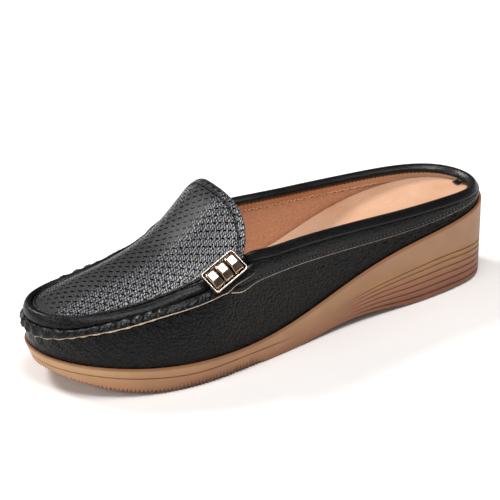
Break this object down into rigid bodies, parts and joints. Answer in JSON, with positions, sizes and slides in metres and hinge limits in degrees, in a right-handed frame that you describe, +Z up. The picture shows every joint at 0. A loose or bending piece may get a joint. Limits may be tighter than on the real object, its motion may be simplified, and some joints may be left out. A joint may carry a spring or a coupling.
{
  "type": "wedge mule",
  "caption": "Left slip-on wedge mule with a hollow moccasin-toe leather upper, open heel-height collar, moulded wedge sole and a small metal buckle ornament.",
  "frame": {"origin": "centre of the whole shoe's box, on the floor that it stands on", "axes": "+X towards the toe, +Y to the outer side of the left foot, +Z up"},
  "size_m": [0.2522, 0.0856, 0.0789],
  "materials": {
    "gum_rubber": "moulded, satin",
    "footbed_leather": "smooth, matt",
    "black_leather": "fine tumbled grain, soft gloss",
    "black_grained_leather": "grained, soft gloss",
    "black_binding_leather": "smooth, rolled edge",
    "gold_plate": "polished pale gold plating"
  },
  "bodies": {
    "root": {"sole": "gum_rubber", "insole": "footbed_leather", "upper": "black_leather", "collar_band": "black_grained_leather", "topline_binding": "black_binding_leather", "apron_band": "black_grained_leather", "apron_seam": "black_leather", "buckle_frame": "gold_plate", "buckle_block_1": "gold_plate", "buckle_block_2": "gold_plate", "buckle_block_3": "gold_plate"}
  },
  "joints": []
}
